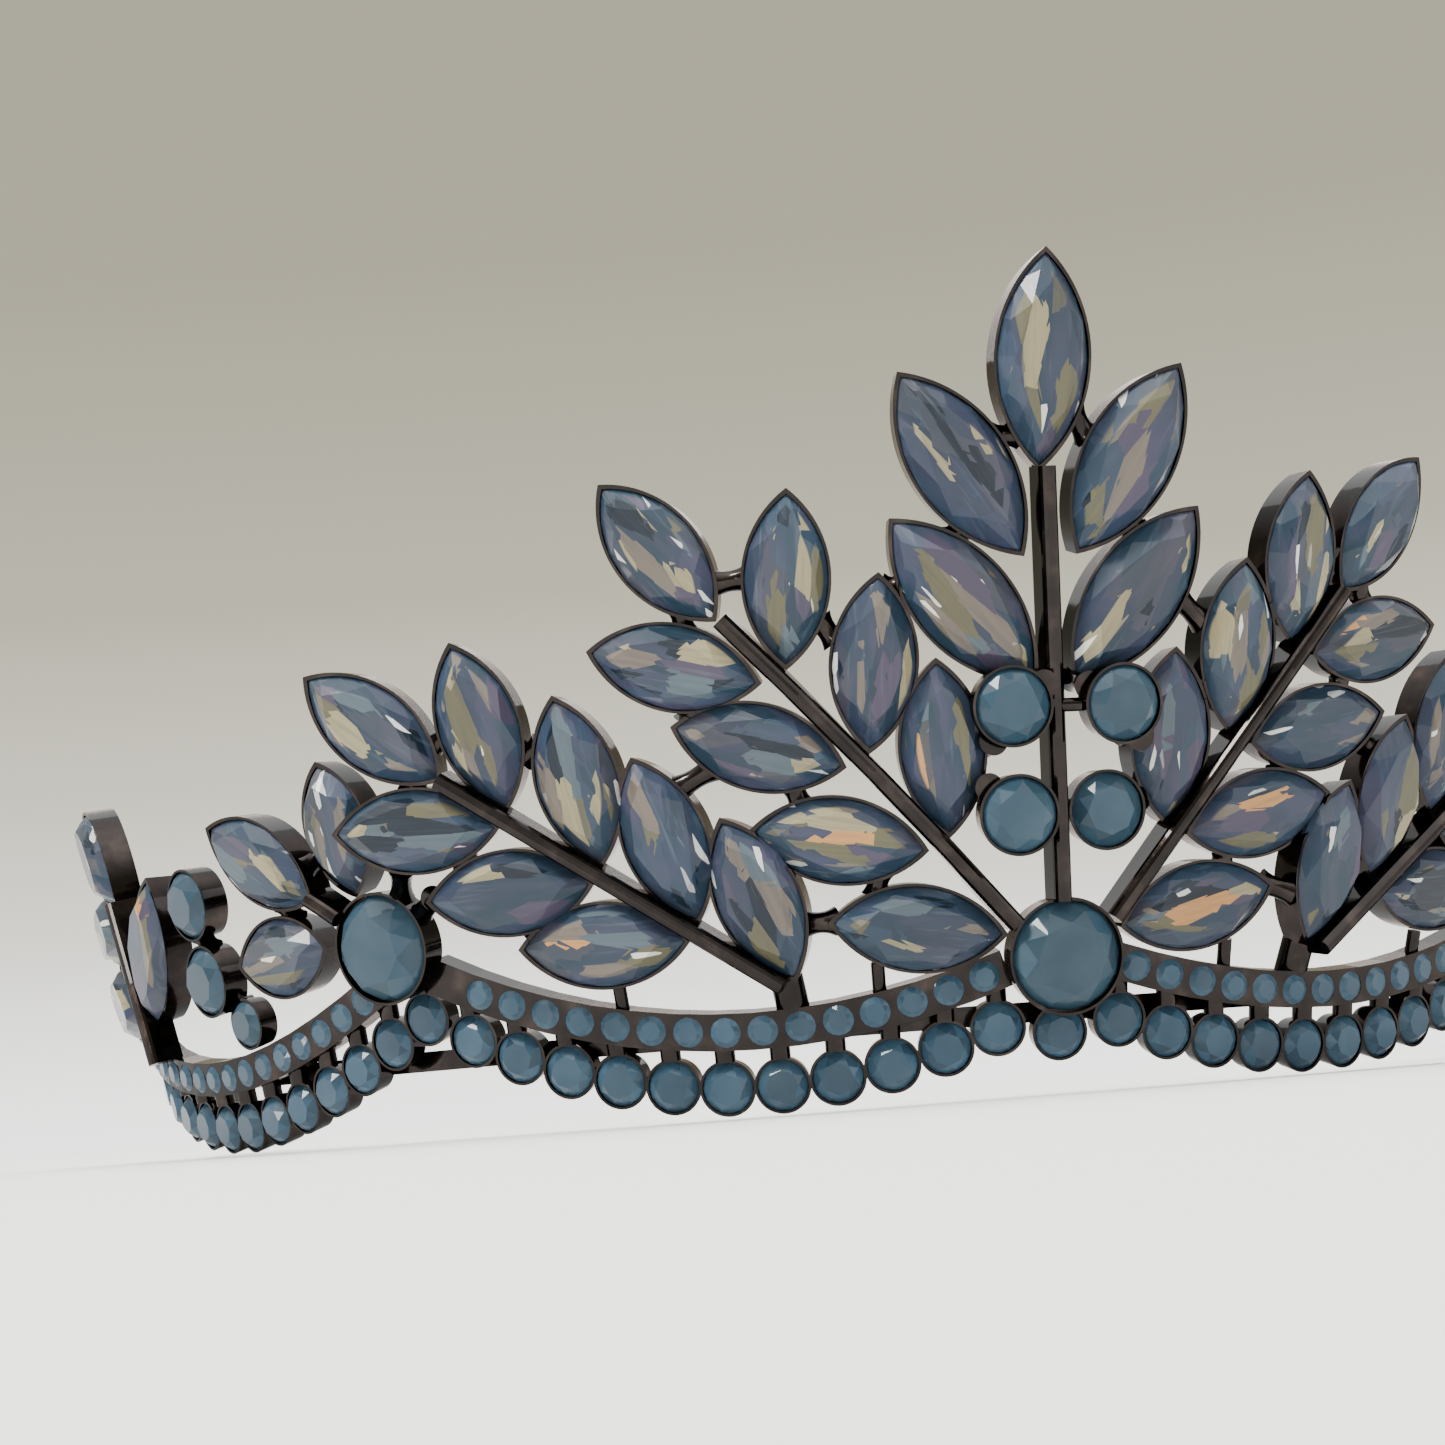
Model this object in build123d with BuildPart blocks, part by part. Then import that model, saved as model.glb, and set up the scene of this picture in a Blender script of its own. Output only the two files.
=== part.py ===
"""Bridal tiara: a curved, slightly flared headpiece of open-backed collets on a scalloped base.

Frame: +Z up, the decorated front faces -Y, +X to the viewer's right, millimetres.
Every place on the decorated face is given by s, the distance along the band from the centre,
h, the height up the face, and out, the distance in front of the face.
"""
import os
from math import cos, dist, pi, radians, sin, sqrt

from build123d import *

os.makedirs("parts", exist_ok=True)

# ---- driving dimensions -----------------------------------------------------------------------
FRONT_RADIUS = 63.0      # plan radius of the front
FRONT_ARC = 80.0         # length of the front arc on each side of the centre
END_RADIUS = 36.0        # plan radius of the ends
FLARE = 10.0             # degrees the face leans outwards
CENTER_Y = -30.44        # y of the face at its foot, so that the plan box is centred
FOOT_Z = 1.914           # height of the lowest chain stone's centre

PEAK_S = 48.0            # scallop peak between the front and the side scallop
PEAK_STONE_S = 48.0
FRONT_LOW_S = 21.6       # lowest point of the front scallop
FRONT_CURVE = 0.0102     # rise of the front scallop, per mm squared
SIDE_LOW_S = 73.0
SIDE_CURVE = 0.0120
SIDE_END_S = 96.5
BAND_ABOVE_CHAIN = 4.25  # from the chain's centre line to the bar's

BAND_HEIGHT = 2.7
BAND_FRONT = 0.35
BAND_DEPTH = 1.9
BAND_STONE = 2.15        # diameters of the round stones
CHAIN_STONE = 3.7
MEDIUM_STONE = 5.4
LARGE_STONE = 8.1
BAND_PITCH = 2.68
CHAIN_PITCH = 4.05
CHAIN_OUT = -0.8         # how far the girdles stand in front of the face
SPRAY_OUT = 1.0
MEDIUM_OUT = 1.3
LARGE_OUT = 1.6
RAISED_OUT = 3.4         # two of the centre's rounds stand in front of their neighbours
WALL = 0.22              # collet wall
RIM = 0.15               # collet rim above the girdle
SEAT = 0.25              # ledge under the girdle

LEAF_LONG, LEAF_WIDE = 12.0, 6.0          # spray leaves
BIG_LEAF_LONG, BIG_LEAF_WIDE = 15.0, 6.8  # leaves of the centre motif
SHORT_LEAF_LONG = 9.8                     # of the side sprays
LEAF_DEPTH = 2.2                          # collet depth behind the girdle
CLEAR = 0.9                               # room kept free above a rim

STEM_WIDE = 1.3
STEM_FOOT = 2.4                           # diameter of the foot that joins a stem to the bar
CENTER_STEM_S = -0.2
POST = 1.5                                # posts between the lower row and the bar
BRIDGE, BRIDGE_NECK = 2.1, 1.5            # diameters of a solder bridge at its ends and its middle
BRIDGE_BACK = 0.85                        # depth of its centre line behind the girdles
SLIVER = 0.05                             # mm3, left over where a bridge was cut to fit
STEM_BACK, STEM_FRONT = -0.3, 2.5         # the stems stand proud of the leaves' tips
LEAF_PITCH = 8.1                          # spacing of the leaves along a stem
FIRST_LEAF = 5.2
UPPER_GAP, LOWER_GAP = 0.9, 1.0           # leaf tips' distance from the stem's centre line
TIP_GAP = 0.3                             # the last leaf's distance from the stem's tip
BITE = 0.35                               # how far a bridge runs on into the collets it joins
LEG = 1.0                                 # diameter of the thin legs and pegs

STRIP_H, STRIP_TALL, STRIP_THICK = 3.6, 1.5, 0.8
STRIP_OUT = -2.65
STRIP_END_S = 107.0
LOOP_BORE, LOOP_OUTER = 2.2, 3.8

TOP_LEAF_TILT = 86.0     # the top leaf was set a little off upright


# ---- the face: from (s, h, out) to the model's frame -----------------------------------------
def plan(s):
    """x, y and heading (radians) of the foot of the face, s millimetres along it."""
    side, run = (1 if s >= 0 else -1), abs(s)
    turn = min(run, FRONT_ARC) / FRONT_RADIUS
    x, y = FRONT_RADIUS * sin(turn), FRONT_RADIUS * (1 - cos(turn))
    if run > FRONT_ARC:
        end = turn + (run - FRONT_ARC) / END_RADIUS
        x += END_RADIUS * (sin(end) - sin(turn))
        y += END_RADIUS * (cos(turn) - cos(end))
        turn = end
    return side * x, y + CENTER_Y, side * turn


def spot(s, h, out=0.0):
    """A point of the face."""
    x, y, turn = plan(s)
    away = h * sin(radians(FLARE)) + out * cos(radians(FLARE))
    up = h * cos(radians(FLARE)) - out * sin(radians(FLARE))
    return Vector(x + away * sin(turn), y - away * cos(turn), up + FOOT_Z)


def face_plane(s, h, out=0.0, angle=0.0, touch=None):
    """Plane on the face: z outwards, x along the face, turned up by the angle in degrees.

    With touch it lies on the flat that touches the face at s = touch.
    """
    base = s if touch is None else touch
    turn = plan(base)[2]
    along = Vector(cos(turn), sin(turn), 0)
    outward = Vector(sin(turn), -cos(turn), 0)
    normal = outward * cos(radians(FLARE)) - Vector(0, 0, sin(radians(FLARE)))
    up = normal.cross(along)
    x_dir = along * cos(radians(angle)) + up * sin(radians(angle))
    return Plane(origin=spot(base, h, out) + along * (s - base), x_dir=x_dir, z_dir=normal)


def chain_height(s):
    """Height of the lower row's centre line at s."""
    run = abs(s)
    if run <= PEAK_S:
        return FRONT_CURVE * (run - FRONT_LOW_S) ** 2
    return SIDE_CURVE * (run - SIDE_LOW_S) ** 2


def band_height(s):
    return chain_height(s) + BAND_ABOVE_CHAIN


def along_scallop(height, start, stop, pitch):
    """Places s from start to stop, each the pitch from the one before, measured on the face."""
    places, s = [start], start
    while s < stop:
        s += 0.02
        if dist((s, height(s)), (places[-1], height(places[-1]))) >= pitch:
            places.append(s)
    return [place for place in places if place <= stop]


# ---- outlines ------------------------------------------------------------------------------------
def leaf_outline(long, wide, steps=6):
    """Pointed oval of two arcs as a list of points, tips on the x axis."""
    radius = (long ** 2 + wide ** 2) / (4 * wide)
    drop = radius - wide / 2
    xs = [-long / 2 * cos(pi * i / steps) for i in range(steps + 1)]
    upper = [(x, sqrt(radius ** 2 - x ** 2) - drop) for x in xs]
    return upper + [(x, -y) for x, y in reversed(upper[1:-1])]


def round_outline(diameter, steps=12):
    return [(diameter / 2 * cos(2 * pi * i / steps), diameter / 2 * sin(2 * pi * i / steps))
            for i in range(steps)]


def scaled(outline, factor):
    return [(x * factor, y * factor) for x, y in outline]


# ---- repeated pieces, made once about the origin --------------------------------------------------
def cut_stone(outline, table, crown, pavilion):
    """Faceted stone, girdle on XY: a table above it and a small culet below."""
    with BuildPart() as stone:
        with BuildSketch(Plane.XY):
            Polygon(*outline, align=None)
        with BuildSketch(Plane.XY.offset(crown)):
            Polygon(*scaled(outline, table), align=None)
        loft(ruled=True)
        with BuildSketch(Plane.XY):
            Polygon(*outline, align=None)
        with BuildSketch(Plane.XY.offset(-pavilion)):
            Polygon(*scaled(outline, 0.25), align=None)
        loft(ruled=True)
    return stone.part


def leaf_face(long, wide):
    """Pointed oval with true arcs."""
    with BuildSketch() as face:
        with BuildLine():
            ThreePointArc((-long / 2, 0), (0, wide / 2), (long / 2, 0))
            ThreePointArc((-long / 2, 0), (0, -wide / 2), (long / 2, 0))
        make_face()
    return face.sketch


def leaf_blank(long, wide):
    """Outside of a leaf collet, tapered to the back."""
    tip = 2.1 * WALL
    with BuildPart() as blank:
        with BuildSketch(Plane.XY.offset(-LEAF_DEPTH)):
            add(leaf_face(long + 2 * tip - 0.6, wide + 2 * WALL - 0.3))
        with BuildSketch(Plane.XY.offset(RIM)):
            add(leaf_face(long + 2 * tip, wide + 2 * WALL))
        loft()
    return blank.part


def leaf_bore(long, wide):
    """Opening of a leaf collet: the stone's recess and the open back inside the ledge."""
    with BuildPart() as bore:
        with BuildSketch(Plane.XY.offset(-LEAF_DEPTH - 1)):
            add(leaf_face(long - 4 * SEAT, wide - 2 * SEAT))
        extrude(amount=LEAF_DEPTH + 1)
        with BuildSketch(Plane.XY.offset(-0.35)):
            add(leaf_face(long + 0.1, wide + 0.06))
        extrude(amount=0.35 + RIM + CLEAR)
    return bore.part


def turned(profile):
    """Solid of revolution about Z from a list of (radius, height)."""
    with BuildPart() as solid:
        with BuildSketch(Plane.XZ):
            Polygon(*profile, align=None)
        revolve(axis=Axis.Z)
    return solid.part


def round_blank(diameter, depth):
    rim = diameter / 2 + WALL
    return turned([(0, RIM), (0, -depth), (rim - 0.2, -depth), (rim, RIM)])


def round_bore(diameter, depth):
    bore = diameter / 2 + 0.03
    return turned([(0, RIM + CLEAR), (0, -depth - 1), (bore - SEAT, -depth - 1),
                   (bore - SEAT, -0.35), (bore, -0.35), (bore, RIM + CLEAR)])


CHAIN_DEEP, MEDIUM_DEEP, LARGE_DEEP = 1.5, 2.0, 2.1

leaf_stone = cut_stone(leaf_outline(LEAF_LONG, LEAF_WIDE), 0.58, 1.3, 1.8)
big_leaf_stone = cut_stone(leaf_outline(BIG_LEAF_LONG, BIG_LEAF_WIDE), 0.58, 1.5, 2.0)
short_leaf_stone = cut_stone(leaf_outline(SHORT_LEAF_LONG, LEAF_WIDE), 0.58, 1.3, 1.8)
band_stone = cut_stone(round_outline(BAND_STONE, 8), 0.6, 0.4, 0.7)
chain_stone = cut_stone(round_outline(CHAIN_STONE, 8), 0.6, 0.7, 1.2)
medium_stone = cut_stone(round_outline(MEDIUM_STONE), 0.6, 0.9, 1.6)
large_stone = cut_stone(round_outline(LARGE_STONE), 0.6, 1.5, 2.3)

band_pocket = turned([(0, 0.5), (0, -0.8), (BAND_STONE / 2 + 0.03, -0.8), (BAND_STONE / 2 + 0.03, 0.5)])


class Kind:
    """One size of setting: its stone, the outside of its collet and its opening."""

    def __init__(self, stone, blank, bore, edge):
        self.stone, self.blank, self.bore, self.edge = stone, blank, bore, edge


def leaf_kind(stone, long, wide):
    edge = leaf_outline(long + 2 * WALL, wide + WALL, 12)
    return Kind(stone, leaf_blank(long, wide), leaf_bore(long, wide), edge)


def round_kind(stone, diameter, depth):
    edge = round_outline(diameter + WALL, 24)
    return Kind(stone, round_blank(diameter, depth), round_bore(diameter, depth), edge)


LEAF = leaf_kind(leaf_stone, LEAF_LONG, LEAF_WIDE)
BIG_LEAF = leaf_kind(big_leaf_stone, BIG_LEAF_LONG, BIG_LEAF_WIDE)
SHORT_LEAF = leaf_kind(short_leaf_stone, SHORT_LEAF_LONG, LEAF_WIDE)
CHAIN = round_kind(chain_stone, CHAIN_STONE, CHAIN_DEEP)
MEDIUM = round_kind(medium_stone, MEDIUM_STONE, MEDIUM_DEEP)
LARGE = round_kind(large_stone, LARGE_STONE, LARGE_DEEP)


class Setting:
    """A stone of one kind in its place on the face. Its angle rises away from the centre."""

    def __init__(self, kind, side, s, h, out, angle=0, touch=None):
        self.kind, self.h = kind, h
        flat = None if touch is None else side * touch
        self.plane = face_plane(side * s, h, out, angle if side > 0 else 180 - angle, flat)
        self.edge = [self.plane.from_local_coords(Vector(x, y, -BRIDGE_BACK)) for x, y in kind.edge]


def spray(side, tip, foot, angles, touch=None, first=FIRST_LEAF, low=FIRST_LEAF, pitch=LEAF_PITCH):
    """Settings of a spray: one leaf at the stem's tip, then the upper and the lower leaves."""
    tip_angle, uppers, lowers = angles
    (s0, h0), (s1, h1) = tip, foot
    run = dist(tip, foot)
    us, uh = (s1 - s0) / run, (h1 - h0) / run
    found = []
    rows = [(0, [tip_angle], 0, TIP_GAP), (UPPER_GAP, uppers, first, 0), (-LOWER_GAP, lowers, low, 0)]
    for gap, turned, start, more in rows:
        for i, angle in enumerate(turned):
            t = start + i * pitch
            reach = LEAF_LONG / 2 + more
            s = s0 + us * t + uh * gap + reach * cos(radians(angle))
            h = h0 + uh * t - us * gap + reach * sin(radians(angle))
            found.append(Setting(LEAF, side, s, h, SPRAY_OUT, angle, touch))
    return found


# ---- solids that join the pieces ------------------------------------------------------------------
def strut(start, end, diameter):
    """Straight round bar between two points, added to the part in hand."""
    with BuildSketch(Plane(origin=start, z_dir=end - start)) as section:
        Circle(diameter / 2)
    extrude(section.sketch, amount=(end - start).length)


def saddle(start, end):
    """Waisted round bridge between two points, added to the part in hand."""
    cuts = []
    for share, diameter in ((0, BRIDGE), (0.5, BRIDGE_NECK), (1, BRIDGE)):
        with BuildSketch(Plane(origin=start + (end - start) * share, z_dir=end - start)) as cut:
            Circle(diameter / 2)
        cuts.append(cut.sketch)
    loft(cuts)


def bridge(first, second):
    """Solder bridge between the nearest points of two settings."""
    pairs = [((a - b).length, i, j) for i, a in enumerate(first.edge) for j, b in enumerate(second.edge)]
    _, i, j = min(pairs)
    a, b = first.edge[i], second.edge[j]
    along = b - a if (b - a).length > BITE else second.plane.origin - first.plane.origin
    along = along.normalized()
    saddle(a - along * BITE, b + along * BITE)


def ribbon(places, section, touch=None):
    """Bar through places (s, h) of the face; its section is across, in front."""
    planes = [face_plane(s, h, 0, 0, touch) for s, h in places]
    cuts = []
    for i, plane in enumerate(planes):
        ahead = planes[min(i + 1, len(planes) - 1)].origin - planes[max(i - 1, 0)].origin
        across = plane.z_dir.cross(ahead)
        with BuildSketch(Plane(origin=plane.origin, x_dir=across, z_dir=ahead)) as cut:
            Polygon(*section, align=None)
        cuts.append(cut.sketch)
    loft(cuts, ruled=True)


def between(start, end, count):
    """Places from start to end in equal steps."""
    return [tuple(a + (b - a) * i / count for a, b in zip(start, end)) for i in range(count + 1)]


def put(solid, planes, mode=Mode.ADD):
    """Copies of a solid on planes, in the part in hand."""
    with Locations(*planes):
        add(solid, mode=mode)


def put_kinds(settings, which, mode=Mode.ADD):
    """The stone, blank or bore of every setting, in the part in hand."""
    for kind in (LEAF, BIG_LEAF, SHORT_LEAF, CHAIN, MEDIUM, LARGE):
        planes = [setting.plane for setting in settings if setting.kind is kind]
        if planes:
            put(getattr(kind, which), planes, mode)


def save(node, part):
    part.label = node
    export_step(part, f"parts/{node}.step")


SIDES = (("left", -1), ("right", 1))
BAR_SECTION = [(-BAND_HEIGHT / 2, BAND_FRONT - BAND_DEPTH), (BAND_HEIGHT / 2, BAND_FRONT - BAND_DEPTH),
               (BAND_HEIGHT / 2, BAND_FRONT), (-BAND_HEIGHT / 2, BAND_FRONT)]
STEM_SIDES = 8
STEM_SECTION = [(-STEM_WIDE / 2, STEM_BACK), (STEM_WIDE / 2, STEM_BACK)]
for step in range(STEM_SIDES + 1):
    turn = pi * step / STEM_SIDES
    STEM_SECTION.append((STEM_WIDE / 2 * cos(turn), STEM_FRONT - STEM_WIDE / 2 * (1 - sin(turn))))


# ---- headband -------------------------------------------------------------------------------------
def ring_point(s, offset):
    x, y, turn = plan(s)
    return (x + offset * sin(turn), y - offset * cos(turn))


def loop_plane(side):
    x, y, turn = plan(side * (STRIP_END_S + 1.5))
    offset = STRIP_H * sin(radians(FLARE)) + STRIP_OUT * cos(radians(FLARE))
    outward = Vector(sin(turn), -cos(turn), 0)
    origin = Vector(x, y, STRIP_Z) + outward * offset
    return Plane(origin=origin, x_dir=(cos(turn), sin(turn), 0), z_dir=outward)


STRIP_Z = FOOT_Z + STRIP_H * cos(radians(FLARE)) - STRIP_OUT * sin(radians(FLARE))
strip_middle = STRIP_H * sin(radians(FLARE)) + STRIP_OUT * cos(radians(FLARE))


def strip_length(start, stop):
    """The strip from one place along the band to another."""
    with BuildPart() as length:
        with BuildSketch(Plane.XY.offset(STRIP_Z - STRIP_TALL / 2)):
            with BuildLine():
                rows = [[ring_point(s, strip_middle + offset) for s in (start, (start + stop) / 2, stop)]
                        for offset in (-STRIP_THICK / 2, STRIP_THICK / 2)]
                for row in rows:
                    ThreePointArc(*row)
                Line(rows[0][0], rows[1][0])
                Line(rows[0][-1], rows[1][-1])
            make_face()
        extrude(amount=STRIP_TALL)
        for _, side in SIDES:
            with BuildSketch(loop_plane(side)):
                Circle(LOOP_OUTER / 2)
            extrude(amount=2, both=True, mode=Mode.SUBTRACT)
    return length.part


# short lengths, end to end, so that each one is close to its own convex hull
stops = [place for place, _ in between((-STRIP_END_S, 0), (-FRONT_ARC, 0), 3)]
stops += [place for place, _ in between((-FRONT_ARC, 0), (FRONT_ARC, 0), 10)][1:]
stops += [-place for place in reversed(stops[:3])]
headband_strip = Compound([strip_length(*ends).solid() for ends in zip(stops, stops[1:])])
save("headband_strip", headband_strip)

for name, side in SIDES:
    with BuildPart() as end_loop:
        with BuildSketch(loop_plane(side)):
            Circle(LOOP_OUTER / 2)
            Circle(LOOP_BORE / 2, mode=Mode.SUBTRACT)
        extrude(amount=STRIP_THICK / 2, both=True)
    save(f"end_loop_{name}", end_loop.part)


# ---- where everything stands ---------------------------------------------------------------------
center_chain = Setting(CHAIN, 1, 0, 2.3, CHAIN_OUT)
center_big = Setting(LARGE, 1, 0, 8.1, LARGE_OUT)
side_big, side_big_right = [Setting(LARGE, side, 49.2, 13.0, LARGE_OUT) for side in (-1, 1)]
top_leaf = Setting(BIG_LEAF, 1, 0, 50.7, SPRAY_OUT, TOP_LEAF_TILT)
center_leaves = {
    name: [Setting(BIG_LEAF, side, 5.5, 43.5, SPRAY_OUT, 58),
           Setting(BIG_LEAF, side, 5.8, 33.8, SPRAY_OUT, 51)]
    for name, side in SIDES
}
center_rounds = {
    "left": [Setting(MEDIUM, -1, 3.4, 26.3, RAISED_OUT), Setting(MEDIUM, -1, 3.3, 18.6, RAISED_OUT)],
    "right": [Setting(MEDIUM, 1, 3.9, 26.1, RAISED_OUT), Setting(MEDIUM, 1, 3.3, 18.4, MEDIUM_OUT)],
}

# the two inner sprays were set by hand and differ a little
INNER_TIP, INNER_FOOT = (21.4, 33.9), (3.4, 10.6)
INNER_ANGLES = {"left": (55, [95, 97, 89], [16, 18, 11, 8]), "right": (53, [83, 83, 85], [11, 10, 12, 11])}
inner = {name: spray(side, INNER_TIP, INNER_FOOT, INNER_ANGLES[name]) for name, side in SIDES}
mirrored_inner = spray(-1, INNER_TIP, INNER_FOOT, INNER_ANGLES["right"])

# made on the left and mirrored
OUTER_TIP, OUTER_FOOT, OUTER_TOUCH = (42.8, 24.6), (19.1, 7.5), 28.0
OUTER_FOOT_TOP, OUTER_FOOT_END = (-19.5, 8.0, -0.2), (-19.2, 5.2, -0.9)
LEGS = ((13.0, 8.4, 5.2), (31.6, 8.2, 5.4))     # under the lowest leaves: place, upper and lower end
PEGS = ((1.4, 1.9, 2.2), (1.0, 0.8, 0.8))       # from the centre's stem to its rounds: place, depths
SIDE_STEM = ((54.9, 17.4), (53.6, 16.5), (52.4, 15.6))
END_TIP, END_FOOT = (83.0, 20.0), (81.0, 6.3)
OUTER_ANGLES = (42, [77, 80, 74, 71], [3, -1, 2])
outer, outer_right = [spray(side, OUTER_TIP, OUTER_FOOT, OUTER_ANGLES, OUTER_TOUCH) for side in (-1, 1)]
side_leaves = [Setting(LEAF, -1, 60.15, 20.6, SPRAY_OUT, 32), Setting(SHORT_LEAF, -1, 52.6, 22.2, 0.0, 81),
               Setting(SHORT_LEAF, -1, 59.6, 13.2, SPRAY_OUT, -3)]
end_leaves = spray(-1, END_TIP, END_FOOT, (41, [112], [12, 16]), first=10.5, low=3.2, pitch=6.8)
side_rounds = [Setting(MEDIUM, -1, 69.8, 18.4, MEDIUM_OUT), Setting(MEDIUM, -1, 69.4, 12.2, MEDIUM_OUT),
               Setting(CHAIN, -1, 66.1, 8.4, 0.6), Setting(MEDIUM, -1, 98.5, 11.5, MEDIUM_OUT)]


def save_pair(node, part):
    """The left piece and its mirror image."""
    save(f"{node}_left", part)
    save(f"{node}_right", mirror(part, about=Plane.YZ))


# ---- scalloped bars with their stones ---------------------------------------------------------------
bars = {}
for where, start, stop, first in (("front", 4.0, 46.2, 5.6), ("side", 51.3, 96.5, 52.9)):
    steps = 14
    places = [start + (stop - start) * i / steps for i in range(steps + 1)]
    with BuildPart() as bar:
        ribbon([(-s, band_height(s)) for s in places], BAR_SECTION)
        put(LARGE.blank, [center_big.plane, side_big.plane], Mode.SUBTRACT)
    bars[where] = bar.part
    seats = along_scallop(band_height, first, stop - 1.5, BAND_PITCH)
    planes = [face_plane(-s, band_height(s), 0.2) for s in seats]
    with BuildPart() as band:
        add(bar.part)
        put(band_pocket, planes, Mode.SUBTRACT)
    save_pair(f"band_{where}", band.part)
    with BuildPart() as stones:
        put(band_stone, planes)
    save_pair(f"band_stones_{where}", stones.part)


# ---- lower rows ---------------------------------------------------------------------------------------
with BuildPart() as chain_center:
    put(CHAIN.blank, [center_chain.plane])
    add(headband_strip, mode=Mode.SUBTRACT)
    put(LARGE.blank, [center_big.plane], Mode.SUBTRACT)
    put(CHAIN.bore, [center_chain.plane], Mode.SUBTRACT)
save("chain_center", chain_center.part)
with BuildPart() as chain_center_stone:
    put(CHAIN.stone, [center_chain.plane])
save("chain_center_stone", chain_center_stone.part)

rows = {"front": along_scallop(chain_height, 4.6, 45.5, CHAIN_PITCH) + [PEAK_STONE_S],
        "side": along_scallop(chain_height, 51.6, 95.5, CHAIN_PITCH)}
peak = face_plane(-PEAK_STONE_S, chain_height(PEAK_STONE_S), CHAIN_OUT)
for where, places in rows.items():
    planes = [face_plane(-s, chain_height(s), CHAIN_OUT) for s in places]
    with BuildPart() as chain:
        put(CHAIN.blank, planes)
        for s in places:
            top = spot(-s, band_height(s) - BAND_HEIGHT / 2 + 0.3, CHAIN_OUT - 0.1)
            strut(spot(-s, chain_height(s) + 1.95, CHAIN_OUT - 0.1), top, POST)
        if where == "side":
            put(CHAIN.blank, [peak], Mode.SUBTRACT)
        add(bars[where], mode=Mode.SUBTRACT)
        add(headband_strip, mode=Mode.SUBTRACT)
        put(LARGE.blank, [center_big.plane, side_big.plane], Mode.SUBTRACT)
        put(CHAIN.bore, planes, Mode.SUBTRACT)
        if where == "front":
            first_side = rows["side"][0]
            put(CHAIN.bore, [face_plane(-first_side, chain_height(first_side), CHAIN_OUT)], Mode.SUBTRACT)
    save_pair(f"chain_{where}", chain.part)
    with BuildPart() as stones:
        put(CHAIN.stone, planes)
    save_pair(f"chain_stones_{where}", stones.part)


# ---- the three large collets --------------------------------------------------------------------------
with BuildPart() as center_collet:
    put_kinds([center_big], "blank")
    put_kinds([center_big], "bore", Mode.SUBTRACT)
save("center_collet", center_collet.part)
with BuildPart() as side_collet:
    put_kinds([side_big], "blank")
    put_kinds([side_big], "bore", Mode.SUBTRACT)
save_pair("side_collet", side_collet.part)
with BuildPart() as large_stones:
    put_kinds([center_big, side_big, side_big_right], "stone")
save("large_stones", large_stones.part)


# ---- stems ----------------------------------------------------------------------------------------------
with BuildPart() as center_stem:
    ribbon([(CENTER_STEM_S, 43.1), (CENTER_STEM_S, 12.1)], STEM_SECTION)
    put(LARGE.blank, [center_big.plane], Mode.SUBTRACT)
save("center_stem", center_stem.part)

inner_stems = {}
for name, side in SIDES:
    with BuildPart() as inner_stem:
        ribbon([(side * s, h) for s, h in between(INNER_TIP, INNER_FOOT, 4)], STEM_SECTION)
        put(LARGE.blank, [center_big.plane], Mode.SUBTRACT)
        put_kinds(inner[name], "bore", Mode.SUBTRACT)
    inner_stems[name] = inner_stem.part
    save(f"inner_spray_stem_{name}", inner_stem.part)

with BuildPart() as outer_stem:
    ribbon([(-s, h) for s, h in between(OUTER_TIP, OUTER_FOOT, 1)], STEM_SECTION, -OUTER_TOUCH)
    strut(spot(*OUTER_FOOT_TOP), spot(*OUTER_FOOT_END), STEM_FOOT)
    add(bars["front"], mode=Mode.SUBTRACT)
    put_kinds(outer, "bore", Mode.SUBTRACT)
save_pair("outer_spray_stem", outer_stem.part)
with BuildPart() as end_stem:
    ribbon([(-s, h) for s, h in between(END_TIP, END_FOOT, 2)], STEM_SECTION)
    add(bars["side"], mode=Mode.SUBTRACT)
    put_kinds(end_leaves, "bore", Mode.SUBTRACT)
save_pair("end_spray_stem", end_stem.part)


# ---- settings fused with the bridges between them --------------------------------------------------------
def cups(settings, links, solids, blanks=(), stem=(), bores=()):
    """Collets of the settings, joined by bridges, fitted round the solids, blanks and bores given."""
    with BuildPart() as row:
        put_kinds(settings, "blank")
        if stem:
            ribbon([(-s, h) for s, h in stem], STEM_SECTION)
        for i, j in links:
            bridge(settings[i], settings[j])
        for solid in solids:
            add(solid, mode=Mode.SUBTRACT)
        put_kinds(blanks, "blank", Mode.SUBTRACT)
        put_kinds([*settings, *bores], "bore", Mode.SUBTRACT)
    return row.part


def stones_of(settings):
    with BuildPart() as row:
        put_kinds(settings, "stone")
    return row.part


save("center_top_cup", cups([top_leaf], [], [center_stem.part]))
pairs = center_leaves["left"] + center_leaves["right"]
save("center_leaf_cups", cups(pairs, [(0, 1), (2, 3)], [center_stem.part], [top_leaf]))
save("center_leaf_stones", stones_of([top_leaf, *pairs]))
for name, side in SIDES:
    links = [(0, 1), (1, 2), (2, 3), (0, 4), (4, 5), (5, 6), (6, 7)]
    blanks = [center_big, center_leaves[name][1], *center_rounds[name]]
    clear = outer if side < 0 else outer_right
    save(f"inner_spray_cups_{name}", cups(inner[name], links, [inner_stems[name]], blanks, bores=clear))
    save(f"inner_spray_stones_{name}", stones_of(inner[name]))
rounds = center_rounds["left"] + center_rounds["right"]
clear = pairs + inner["left"] + inner["right"]
save("center_round_cups", cups(rounds, [], [center_stem.part], bores=clear))
save("center_round_stones", stones_of(rounds))

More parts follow.
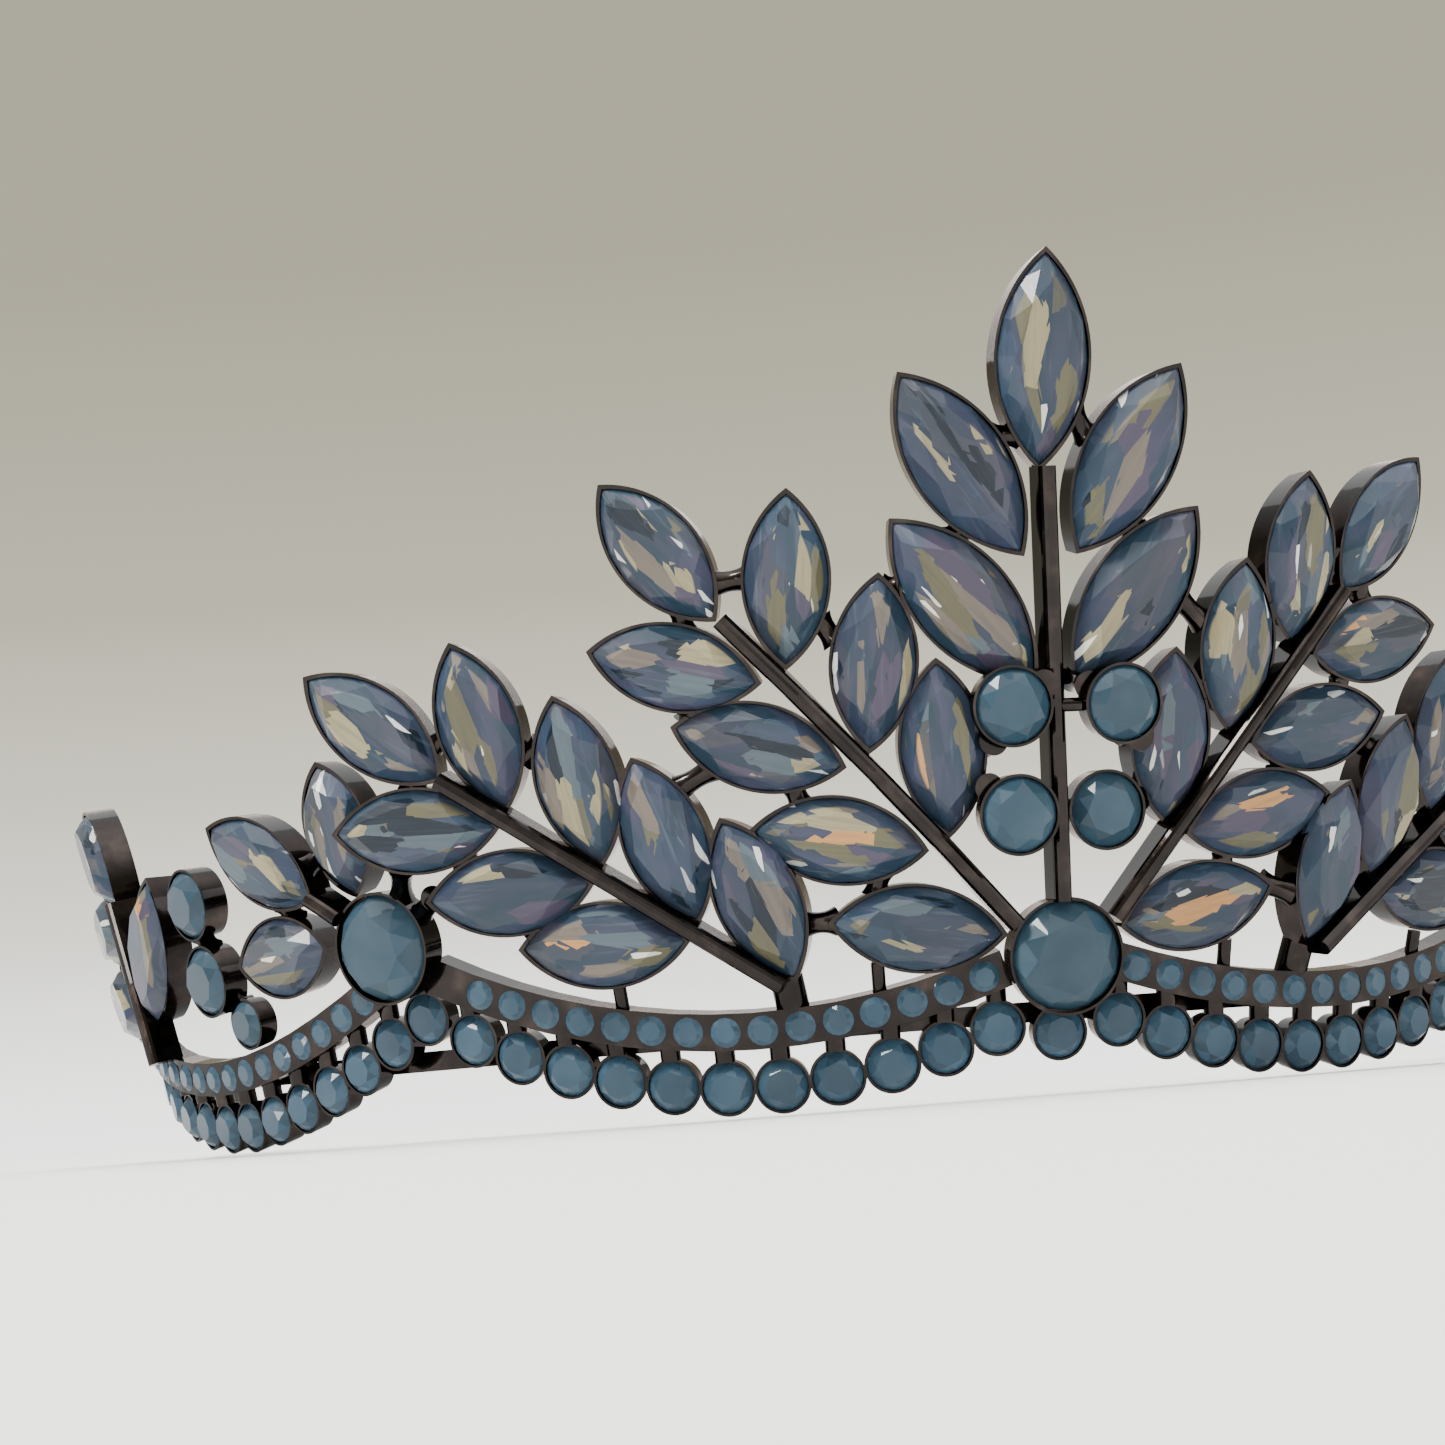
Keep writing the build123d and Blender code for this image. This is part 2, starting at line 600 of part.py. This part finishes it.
links = [(0, 1), (1, 2), (2, 3), (3, 4), (0, 5), (5, 6), (6, 7)]
near = [side_big, *inner["left"][4:], *mirrored_inner[4:]]
clear = inner["left"] + mirrored_inner
save_pair("outer_spray_cups", cups(outer, links, [outer_stem.part, bars["front"]], near, bores=clear))
save_pair("outer_spray_stones", stones_of(outer))
near = [side_big, outer[5]]
save_pair("side_spray_cups", cups(side_leaves, [(0, 1), (0, 2)], [bars["side"]], near, SIDE_STEM))
save_pair("side_spray_stones", stones_of(side_leaves))
save_pair("end_spray_cups", cups(end_leaves, [(0, 2), (2, 3)], [end_stem.part, bars["side"]]))
save_pair("end_spray_stones", stones_of(end_leaves))
save_pair("side_round_cups", cups(side_rounds, [(0, 1), (1, 2)], [bars["side"]]))
save_pair("side_round_stones", stones_of(side_rounds))


# ---- bridges between the motifs ----------------------------------------------------------------------------
for name, side in SIDES:
    big, far = (side_big, outer) if side < 0 else (side_big_right, outer_right)
    leaves, lows, rounds = center_leaves[name], inner[name], center_rounds[name]
    pairs = [(lows[2], leaves[1]), (leaves[1], rounds[0]), (lows[3], rounds[0]), (lows[3], rounds[1]),
             (top_leaf, leaves[0]), (lows[5], far[3]), (lows[7], far[4]), (far[5], big), (far[6], big)]
    with BuildPart() as links:
        for first, second in pairs:
            bridge(first, second)
        for s, top, bottom in LEGS:
            strut(spot(side * s, top, -0.2), spot(side * s, bottom, -0.6), LEG)
        for round_one, (s, middle_out, far_out) in zip(rounds, PEGS):
            strut(spot(0, round_one.h, middle_out), spot(side * s, round_one.h, far_out), LEG)
        for solid in (center_stem.part, inner_stems[name]):
            add(solid, mode=Mode.SUBTRACT)
        add(bars["front"] if side < 0 else mirror(bars["front"], about=Plane.YZ), mode=Mode.SUBTRACT)
        near = [top_leaf, big, *leaves, *lows, *rounds, *far]
        put_kinds(near, "blank", Mode.SUBTRACT)
        put_kinds(near, "bore", Mode.SUBTRACT)
    save(f"bridges_{name}", Compound([solid for solid in links.part.solids() if solid.volume > SLIVER]))
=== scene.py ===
"""Looks for the bridal tiara: faceted opal stones, blackened metal, studio floor, light and camera."""
import random
from math import cos, radians, sin, sqrt, tau

import bmesh
import bpy
import numpy as np
from mathutils import Matrix, Vector

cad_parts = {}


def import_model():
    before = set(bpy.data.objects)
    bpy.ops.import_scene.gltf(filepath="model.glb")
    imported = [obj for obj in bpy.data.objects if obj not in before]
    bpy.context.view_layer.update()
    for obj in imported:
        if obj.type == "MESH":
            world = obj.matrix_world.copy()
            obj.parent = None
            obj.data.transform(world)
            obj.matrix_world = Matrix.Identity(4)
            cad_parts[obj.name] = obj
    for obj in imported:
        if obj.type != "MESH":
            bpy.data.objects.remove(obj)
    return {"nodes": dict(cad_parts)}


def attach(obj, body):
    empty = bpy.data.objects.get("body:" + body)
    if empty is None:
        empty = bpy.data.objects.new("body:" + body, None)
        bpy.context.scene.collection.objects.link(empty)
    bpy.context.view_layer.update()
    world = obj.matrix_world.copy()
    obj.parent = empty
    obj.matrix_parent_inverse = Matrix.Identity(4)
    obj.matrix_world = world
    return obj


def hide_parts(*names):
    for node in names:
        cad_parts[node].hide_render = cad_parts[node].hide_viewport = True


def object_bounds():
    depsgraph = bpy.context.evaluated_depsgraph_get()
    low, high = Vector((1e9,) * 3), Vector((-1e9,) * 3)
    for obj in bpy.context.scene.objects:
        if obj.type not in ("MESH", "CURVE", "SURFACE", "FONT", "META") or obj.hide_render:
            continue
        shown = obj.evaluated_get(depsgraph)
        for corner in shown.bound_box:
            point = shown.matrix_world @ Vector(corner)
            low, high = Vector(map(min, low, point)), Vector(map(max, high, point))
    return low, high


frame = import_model()
cad_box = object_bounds()
nodes = frame["nodes"]


# ---- shader helpers ---------------------------------------------------------------------------------
def set_stops(color_ramp, stops):
    """Give a colour ramp its (place, colour) stops."""
    elements = color_ramp.elements
    while len(elements) < len(stops):
        elements.new(0.5)
    for element, (place, color) in zip(elements, stops):
        element.position = place
        element.color = (*color, 1)


class Shader:
    """A node material in the making."""

    def __init__(self, name):
        self.material = bpy.data.materials.new(name)
        self.material.use_nodes = True
        self.tree = self.material.node_tree
        self.surface = self.tree.nodes["Principled BSDF"]

    def node(self, kind, **values):
        """A new node; each value goes to the setting or else the socket of that name."""
        made = self.tree.nodes.new(kind)
        for key, value in values.items():
            if hasattr(made, key):
                setattr(made, key, value)
            else:
                made.inputs[key.replace("_", " ")].default_value = value
        return made

    def link(self, source, target):
        self.tree.links.new(source, target)

    def feed(self, value, socket):
        """Link an output to a socket, or set the socket to a constant."""
        if isinstance(value, bpy.types.NodeSocket):
            self.link(value, socket)
        elif hasattr(value, "__len__") and len(socket.default_value) > len(value):
            socket.default_value = (*value, 1)
        else:
            socket.default_value = value

    def set(self, **values):
        """Constants on the surface's sockets."""
        for key, value in values.items():
            self.surface.inputs[key.replace("_", " ")].default_value = value

    def coordinates(self):
        return self.node("ShaderNodeTexCoord").outputs["Object"]

    def attribute(self, name):
        return self.node("ShaderNodeAttribute", attribute_name=name).outputs["Vector"]

    def noise(self, scale, detail, space=None):
        made = self.node("ShaderNodeTexNoise", Scale=scale, Detail=detail)
        self.link(space or self.coordinates(), made.inputs["Vector"])
        return made.outputs["Fac"]

    def cells(self, space):
        """Random colours of straight-edged cells."""
        made = self.node("ShaderNodeTexVoronoi", Scale=1.0)
        self.link(space, made.inputs["Vector"])
        return made.outputs["Color"]

    def span(self, value, low, high, start=0.0, stop=1.0):
        """Map start..stop of a value to low..high."""
        made = self.node("ShaderNodeMapRange", From_Min=start, From_Max=stop, To_Min=low, To_Max=high)
        self.link(value, made.inputs["Value"])
        return made.outputs["Result"]

    def ramp(self, value, stops, interpolation="LINEAR"):
        made = self.node("ShaderNodeValToRGB")
        set_stops(made.color_ramp, stops)
        made.color_ramp.interpolation = interpolation
        self.link(value, made.inputs["Fac"])
        return made.outputs["Color"]

    def bump(self, height, strength, distance):
        made = self.node("ShaderNodeBump", Strength=strength, Distance=distance)
        self.link(height, made.inputs["Height"])
        return made.outputs["Normal"]

    def vector(self, operation, first, second):
        made = self.node("ShaderNodeVectorMath", operation=operation)
        self.feed(first, made.inputs[0])
        self.feed(second, made.inputs[1])
        return made.outputs[0]

    def math(self, operation, first, second=0.0):
        made = self.node("ShaderNodeMath", operation=operation)
        self.feed(first, made.inputs[0])
        self.feed(second, made.inputs[1])
        return made.outputs[0]

    def apart(self, value):
        made = self.node("ShaderNodeSeparateXYZ")
        self.link(value, made.inputs[0])
        return made.outputs[0], made.outputs[1], made.outputs[2]

    def mix(self, share, first, second, blend="MIX"):
        made = self.node("ShaderNodeMix", data_type="RGBA", blend_type=blend)
        for index, value in ((0, share), (6, first), (7, second)):      # factor and the two colours
            self.feed(value, made.inputs[index])
        return made.outputs[2]

    def glass(self, color):
        """Opal under a clear face: each facet has its own painted light, a brighter or darker share of
        the colour in place of the light it sends back, and inner slant, stored on the mesh.
        """
        lit_color = self.mix(1.0, color, self.attribute("facet_tint"), "MULTIPLY")
        self.link(lit_color, self.surface.inputs["Base Color"])
        self.link(self.attribute("facet_slant"), self.surface.inputs["Normal"])
        self.set(Roughness=0.4, IOR=1.2, Coat_Weight=0.35, Coat_Roughness=0.03, Coat_IOR=1.5)


# ---- materials --------------------------------------------------------------------------------------
PLATE = ((0.3, (0.008, 0.006, 0.0055)), (0.55, (0.016, 0.0115, 0.01)), (0.78, (0.042, 0.031, 0.026)))
WEAR_SCALE, SHINE_SCALE, GRAIN_SCALE = 420, 900, 1500          # of the plate's noises, per metre
GRAIN_DEPTH = 0.00006


def metal():
    """Black-nickel plate with a brown cast, thin in places, over a fine casting grain."""
    s = Shader("gunmetal_plate")
    s.link(s.ramp(s.noise(WEAR_SCALE, 4), PLATE), s.surface.inputs["Base Color"])
    s.link(s.span(s.noise(SHINE_SCALE, 3), 0.12, 0.3), s.surface.inputs["Roughness"])
    s.link(s.bump(s.noise(GRAIN_SCALE, 3), 0.35, GRAIN_DEPTH), s.surface.inputs["Normal"])
    s.set(Metallic=1.0, Specular_Tint=(0.3, 0.24, 0.21, 1), Coat_Weight=0.3, Coat_Roughness=0.06)
    return s.material


BODY = (
    (0.0, (0.012, 0.023, 0.036)), (0.25, (0.02, 0.034, 0.06)), (0.45, (0.013, 0.028, 0.042)),
    (0.6, (0.037, 0.037, 0.064)), (0.75, (0.028, 0.05, 0.08)), (0.9, (0.048, 0.046, 0.054)))
# painted reflections: the background and lamps that the back facets show through the table, painted as
# cream, khaki, lavender, steel and near-black splinters
SHARD_REFLECTIONS = (
    (0.0, (0.09, 0.083, 0.046)), (0.2, (0.24, 0.21, 0.12)), (0.36, (0.05, 0.04, 0.066)),
    (0.5, (0.06, 0.085, 0.1)), (0.62, (0.004, 0.009, 0.016)), (0.78, (0.12, 0.1, 0.08)),
    (0.97, (0.4, 0.2, 0.07)))
PALE_STREAK, GLINT = (0.08, 0.11, 0.13), (0.9, 0.9, 0.85)

# how often each pattern changes along a leaf, across it and from stone to stone
JAG_CELLS = (3.0, 4.5, 1)
BODY_CELLS, BODY_CLOUD = (0.9, 1.5, 1), (0.9, 1.6, 1)
SHARD_REFLECTION_CELLS = (1.5, 2.7, 1.7)
STREAKS = (1.3, 9, 1)
GLINT_CELLS = (4, 10, 1)
JAG_REACH = (0.4, 0.14, 0)      # how far the jags push the cells' edges


def leaf_opal():
    """Milky blue glass with painted reflections: the light and background that the back facets pass on
    are painted through the table as long splinters of other colours, lighter and darker.
    """
    s = Shader("opal_leaf")
    place = s.attribute("facet_place")                 # along, across, stone

    def scaled(by):
        return s.vector("MULTIPLY", place, by)

    jag = s.vector("SUBTRACT", s.cells(scaled(JAG_CELLS)), (0.5, 0.5, 0.5))
    jag = s.vector("MULTIPLY", jag, JAG_REACH)
    broad, _, _ = s.apart(s.cells(s.vector("ADD", scaled(BODY_CELLS), jag)))
    reflection_hue, shown, extent = s.apart(s.cells(s.vector("ADD", scaled(SHARD_REFLECTION_CELLS), jag)))
    body = s.mix(0.5, s.ramp(broad, BODY), s.ramp(s.noise(1.0, 2, scaled(BODY_CLOUD)), BODY))

    # the painted reflections thin out towards the rim and let the streaks through
    along, across, _ = s.apart(place)
    reach = s.math("ADD", s.math("MULTIPLY", along, along), s.math("ABSOLUTE", across))
    reach = s.math("ADD", reach, s.math("MULTIPLY", extent, 0.35))
    reflection_seen = s.math("MULTIPLY", s.span(reach, 1, 0, 0.86, 0.9), s.span(shown, 0, 1, 0.52, 0.55))
    streak = s.noise(1.0, 3, scaled(STREAKS))
    reflection_seen = s.math("MULTIPLY", reflection_seen, s.span(streak, 0.75, 1, 0.35, 0.55))
    color = s.mix(reflection_seen, body, s.ramp(reflection_hue, SHARD_REFLECTIONS, "CONSTANT"))
    color = s.mix(s.span(streak, 0, 0.35, 0.6, 0.75), color, PALE_STREAK)
    spark, _, _ = s.apart(s.cells(scaled(GLINT_CELLS)))
    s.glass(s.mix(s.span(spark, 0, 0.55, 0.988, 0.992), color, GLINT))
    return s.material


CLOUD_SCALE = 260      # per metre


def round_opal(name, deep, milky):
    """Milky teal glass, a little cloudy."""
    s = Shader(name)
    cloud = s.span(s.noise(CLOUD_SCALE, 3), 0.0, 0.4, 0.4, 0.75)
    s.glass(s.mix(cloud, deep, milky))
    return s.material


METAL = metal()
LEAF_OPAL = leaf_opal()
ROUND_OPAL = round_opal("opal_round", (0.017, 0.04, 0.06), (0.045, 0.08, 0.1))
SMALL_OPAL = round_opal("opal_small", (0.022, 0.05, 0.078), (0.06, 0.105, 0.14))


# ---- where the CAD's stones sit -------------------------------------------------------------------
SAME_POINT = 1e-6
LEVEL = 1e-4           # corners this close to a stone's top or bottom aren't on its girdle
UPRIGHT = 1e-5         # an axis that drops by less than this counts as level
PLAN_CENTER_Y = 0.012  # the stones face away from this line


def islands(node):
    """The corners of each separate solid of a CAD node."""
    bm = bmesh.new()
    bm.from_mesh(nodes[node].data)
    bmesh.ops.remove_doubles(bm, verts=bm.verts, dist=SAME_POINT)
    left = set(bm.verts)
    found = []
    while left:
        stack = [left.pop()]
        group = []
        while stack:
            vertex = stack.pop()
            group.append(vertex.co.copy())
            for edge in vertex.link_edges:
                other = edge.other_vert(vertex)
                if other in left:
                    left.remove(other)
                    stack.append(other)
        found.append(np.array(group))
    bm.free()
    return sorted(found, key=lambda group: tuple(group.mean(0).round(4)))


def seat(corners):
    """Placement of a stone from its CAD corners: matrix, half length, half width, crown and pavilion."""
    middle = corners.mean(0)
    axes = np.linalg.svd(corners - middle, full_matrices=False)[2]
    outward = np.array((middle[0], middle[1] - PLAN_CENTER_Y, 0))
    outward /= np.linalg.norm(outward)
    normal = max(axes, key=lambda axis: abs(axis @ outward))
    normal = normal * np.sign(normal @ outward)
    depth = corners @ normal
    girdle = corners[(depth > depth.min() + LEVEL) & (depth < depth.max() - LEVEL)]
    center = girdle.mean(0)
    level = float(center @ normal)
    along = max(girdle - center, key=np.linalg.norm)
    along = along - normal * (along @ normal)
    along *= 1 if along[2] >= -UPRIGHT else -1
    along /= np.linalg.norm(along)
    across = np.cross(normal, along)
    matrix = Matrix((along, across, normal)).transposed().to_4x4()
    matrix.translation = Vector(center)
    half_long = float(abs((girdle - center) @ along).max())
    half_wide = float(abs((girdle - center) @ across).max())
    return matrix, half_long, half_wide, float(depth.max() - level), float(level - depth.min())


# ---- cut stones -------------------------------------------------------------------------------------
POINTED = 1.2          # longer than this, against its width, a stone is a leaf
MAINS = 8              # main facets round a stone
GIRDLE = 0.00018       # half the girdle's height
STAR_REACH, STAR_RISE = 0.53, 0.55     # where the star facets' outer corners lie
MAIN_REACH, MAIN_DEPTH = 0.55, 0.62    # and those where the two rows of pavilion facets meet
KEEL, CULET = 0.42, 0.1                # a leaf's keel against its length, the culet against its width
# painted light: each row of facets is painted brighter or darker, in place of the light it sends back
TABLE_PAINTED_LIGHT, STAR_PAINTED_LIGHT, KITE_PAINTED_LIGHT, UPPER_PAINTED_LIGHT, GIRDLE_PAINTED_LIGHT = 0.95, 1.02, 1.08, 1.12, 0.8
SWING, TABLE_SWING = 0.3, 0.1          # share of the spread that facets swing by
OVER_RIM = 0.00012     # the stones' edges lie over the collets' rims
TIP_OVER = 1.8         # and more so at a leaf's tips
NOD, TURN = 1.2, 0.8   # degrees that stones sit out of true


def outline(half_long, half_wide, count):
    """Points round a pointed oval, or round a circle when both halves agree."""
    turns = [tau * i / count for i in range(count)]
    if half_long < POINTED * half_wide:
        return [(half_long * cos(turn), half_long * sin(turn)) for turn in turns]
    radius = (half_long ** 2 + half_wide ** 2) / (2 * half_wide)
    points = []
    for turn in turns:
        x = half_long * cos(turn)
        y = sqrt(max(radius ** 2 - x ** 2, 0)) - (radius - half_wide)
        points.append((x, y if sin(turn) >= 0 else -y))
    return points


class Cut:
    """Facets of all the stones of one piece: painted light share, inner slant, and place on the stone.
    """

    def __init__(self):
        self.corners, self.faces, self.tints, self.slants, self.places = [], [], [], [], []

    def facet(self, placed, points, tint, slant, stone):
        matrix, half_long, half_wide = placed[:3]
        start = len(self.corners)
        self.corners += [matrix @ Vector(point) for point in points]
        self.faces.append(list(range(start, start + len(points))))
        self.tints.append(tint)
        self.slants.append((matrix.to_3x3() @ Vector(slant)).normalized())
        self.places.append([(x / half_long, y / half_wide, stone) for x, y, _ in points])

    def object(self, name, material):
        mesh = bpy.data.meshes.new(name)
        mesh.from_pydata(self.corners, [], self.faces)
        tints = mesh.attributes.new("facet_tint", "FLOAT_VECTOR", "CORNER")
        slants = mesh.attributes.new("facet_slant", "FLOAT_VECTOR", "CORNER")
        places = mesh.attributes.new("facet_place", "FLOAT_VECTOR", "CORNER")
        for face, tint, slant, spots in zip(mesh.polygons, self.tints, self.slants, self.places):
            for loop, spot in zip(face.loop_indices, spots):
                tints.data[loop].vector = tint
                slants.data[loop].vector = slant
                places.data[loop].vector = spot
        mesh.materials.append(material)
        bm = bmesh.new()
        bm.from_mesh(mesh)
        bmesh.ops.remove_doubles(bm, verts=bm.verts, dist=SAME_POINT / 10)
        bmesh.ops.recalc_face_normals(bm, faces=bm.faces)
        bm.to_mesh(mesh)
        bm.free()
        made = bpy.data.objects.new(name, mesh)
        bpy.context.scene.collection.objects.link(made)
        return made


def lean(points, dice, spread):
    """A facet's own normal, swung a little at random."""
    a, b, c = (Vector(p) for p in points[:3])
    normal = (b - a).cross(c - a).normalized()
    return normal + Vector((dice.uniform(-spread, spread), dice.uniform(-spread, spread), 0))


def cut_stone(cut, placed, dice, table, spread, contrast):
    """One stone: table, star, kite and girdle facets above, two rows of pavilion facets below."""
    _, half_long, half_wide, crown, pavilion = placed
    rim = outline(half_long, half_wide, 2 * MAINS)
    stone = dice.uniform(0, 500)

    def ring(index, scale, z):
        x, y = rim[index % (2 * MAINS)]
        return x * scale, y * scale, z

    def add(points, level=1.0, swing=SWING):
        # painted light: each facet's colour share, with a cooler blue share, varies at random by the
        # contrast
        tint = level * (1 + dice.uniform(-contrast, contrast))
        cool = tint * (1 + dice.uniform(0, contrast / 3))
        slant = lean(points, dice, spread * swing)
        cut.facet(placed, points, (tint, (tint + cool) / 2, cool), slant, stone)

    tops = [ring(2 * i, table, crown) for i in range(MAINS)]
    mids = [ring(2 * i + 1, STAR_REACH + table / 2, STAR_RISE * crown) for i in range(MAINS)]
    upper = [ring(i, 1, GIRDLE) for i in range(2 * MAINS + 1)]
    lower = [ring(i, 1, -GIRDLE) for i in range(2 * MAINS + 1)]
    for i in range(MAINS):
        add([tops[i], mids[i], tops[(i + 1) % MAINS]], STAR_PAINTED_LIGHT)
        add([tops[i], mids[i - 1], upper[2 * i], mids[i]], KITE_PAINTED_LIGHT)
        add([mids[i], upper[2 * i], upper[2 * i + 1]], UPPER_PAINTED_LIGHT)
        add([mids[i], upper[2 * i + 1], upper[2 * i + 2]], UPPER_PAINTED_LIGHT)
    for i in range(2 * MAINS):
        add([upper[i], lower[i], lower[i + 1], upper[i + 1]], GIRDLE_PAINTED_LIGHT)
    add(tops, TABLE_PAINTED_LIGHT, TABLE_SWING)

    deep = [ring(2 * i + 1, MAIN_REACH, -MAIN_DEPTH * pavilion) for i in range(MAINS)]
    culet_wide = CULET * half_wide
    culet_long = culet_wide + (KEEL * half_long if half_long > POINTED * half_wide else 0)
    turns = [tau * (i + 0.5) / MAINS for i in range(MAINS)]
    culet = [(culet_long * cos(turn), culet_wide * sin(turn), -pavilion) for turn in turns]
    for i in range(MAINS):
        j = (i + 1) % MAINS
        add([lower[2 * i], deep[i - 1], deep[i]])
        add([lower[2 * i], deep[i], lower[2 * i + 1]])
        add([lower[2 * i + 1], deep[i], lower[2 * i + 2]])
        add([deep[i], culet[i], culet[j]])
        add([deep[i], culet[j], deep[j]])
    add(culet[::-1])


def stones(node, material, table, spread, contrast):
    """The cut stones that stand for one CAD node's plain ones."""
    dice = random.Random(node)
    cut = Cut()
    for corners in islands(node):
        matrix, long, wide, crown, pavilion = seat(corners)
        over = OVER_RIM * (TIP_OVER if long > POINTED * wide else 1)
        nod = Matrix.Rotation(radians(dice.uniform(-NOD, NOD)), 4, "X")
        turn = Matrix.Rotation(radians(dice.uniform(-TURN, TURN)), 4, "Y")
        placed = (matrix @ (nod @ turn), long + over, wide + OVER_RIM, crown, pavilion)
        cut_stone(cut, placed, dice, table, spread, contrast)
    piece = cut.object(f"{node}_cut", material)
    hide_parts(node)
    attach(piece, "root")


def plate(node):
    """Dark plate on a CAD node's own mesh."""
    nodes[node].data.materials.clear()
    nodes[node].data.materials.append(METAL)


for name in sorted(nodes):
    if name.startswith("band_stones"):
        stones(name, SMALL_OPAL, table=0.6, spread=0.25, contrast=0.2)
    elif name.startswith("chain") and "stone" in name:
        stones(name, SMALL_OPAL, table=0.6, spread=0.5, contrast=0.3)
    elif "spray_stones" in name or "leaf_stones" in name:
        stones(name, LEAF_OPAL, table=0.68, spread=0.5, contrast=0.12)
    elif "stone" in name:
        stones(name, ROUND_OPAL, table=0.62, spread=0.4, contrast=0.2)
    else:
        plate(name)


# ---- floor, light and camera ----------------------------------------------------------------------
FLOOR_RADIUS, FLOOR_SIDES, FLOOR_GAP = 0.6, 96, 0.0002


def floor():
    """Round sheet of pale paper, just below the tiara."""
    bm = bmesh.new()
    bmesh.ops.create_circle(bm, cap_ends=True, radius=FLOOR_RADIUS, segments=FLOOR_SIDES)
    mesh = bpy.data.meshes.new("floor")
    bm.to_mesh(mesh)
    bm.free()
    s = Shader("floor_paper")
    s.set(Base_Color=(0.84, 0.835, 0.825, 1), Roughness=0.8)
    mesh.materials.append(s.material)
    made = bpy.data.objects.new("floor", mesh)
    made.location.z = cad_box[0][2] - FLOOR_GAP
    bpy.context.scene.collection.objects.link(made)


SKY_STRENGTH = 4.5
SKY = (
    (0.0, (0.6, 0.595, 0.585)), (0.03, (0.47, 0.465, 0.45)), (0.06, (0.32, 0.315, 0.285)),
    (0.1, (0.24, 0.23, 0.19)), (0.16, (0.16, 0.152, 0.12)), (0.26, (0.12, 0.113, 0.087)),
    (0.42, (0.118, 0.112, 0.086)), (0.62, (0.3, 0.3, 0.29)), (1.0, (0.9, 0.9, 0.9)))


def world():
    """Grey-beige room, lighter towards the floor and overhead."""
    made = bpy.data.worlds.new("studio")
    made.use_nodes = True
    tree = made.node_tree
    place = tree.nodes.new("ShaderNodeTexCoord")
    split = tree.nodes.new("ShaderNodeSeparateXYZ")
    ramp = tree.nodes.new("ShaderNodeValToRGB")
    set_stops(ramp.color_ramp, SKY)
    tree.links.new(place.outputs["Generated"], split.inputs[0])
    tree.links.new(split.outputs["Z"], ramp.inputs["Fac"])
    tree.links.new(ramp.outputs["Color"], tree.nodes["Background"].inputs["Color"])
    tree.nodes["Background"].inputs["Strength"].default_value = SKY_STRENGTH
    bpy.context.scene.world = made


LIT_POINT = Vector((0, 0, 0.03))
LIGHTS = (   # name, place, size, watts, colour
    ("window", (-0.6, -0.35, 0.95), (0.3, 0.25), 16, (1, 0.98, 0.95)),
    ("lamp", (-0.9, -0.9, 0.25), (0.08, 0.2), 2.2, (1, 0.96, 0.9)),
    ("fill", (0.8, -0.7, 0.5), (0.8, 0.6), 4, (0.95, 0.97, 1)),
    ("back", (0.2, 0.9, 0.7), (1.2, 0.8), 8, (1, 1, 1)),
)


def light(name, place, size, watts, color):
    """Rectangular soft light that faces the tiara."""
    data = bpy.data.lights.new(name, "AREA")
    data.shape = "RECTANGLE"
    data.size, data.size_y = size
    data.energy = watts
    data.color = color
    made = bpy.data.objects.new(name, data)
    made.location = place
    made.rotation_euler = (LIT_POINT - Vector(place)).to_track_quat("-Z", "Y").to_euler()
    bpy.context.scene.collection.objects.link(made)


YAW, PITCH, ROLL = 0.2067, 0.1160, -0.0786       # the camera stands to the left, low, and looks up
AIM = Vector((0, -0.0304, 0.0270))
SHIFT_RIGHT, SHIFT_UP, DISTANCE = -0.02268, -0.00012, 0.2319
LENS, SENSOR = 79.07, 36                         # mm
NEAREST = 0.005


def camera():
    forward = Vector((sin(YAW) * cos(PITCH), cos(YAW) * cos(PITCH), sin(PITCH)))
    right = Vector((cos(YAW), -sin(YAW), 0))
    up = right.cross(forward)
    turned = right * cos(ROLL) + up * sin(ROLL)
    above = up * cos(ROLL) - right * sin(ROLL)
    data = bpy.data.cameras.new("camera")
    data.lens, data.sensor_width = LENS, SENSOR
    data.clip_start = NEAREST
    made = bpy.data.objects.new("camera", data)
    made.matrix_world = Matrix((turned, above, -forward)).transposed().to_4x4()
    made.location = AIM + turned * SHIFT_RIGHT + above * SHIFT_UP - forward * DISTANCE
    bpy.context.scene.collection.objects.link(made)
    bpy.context.scene.camera = made


floor()
world()
for row in LIGHTS:
    light(*row)
camera()
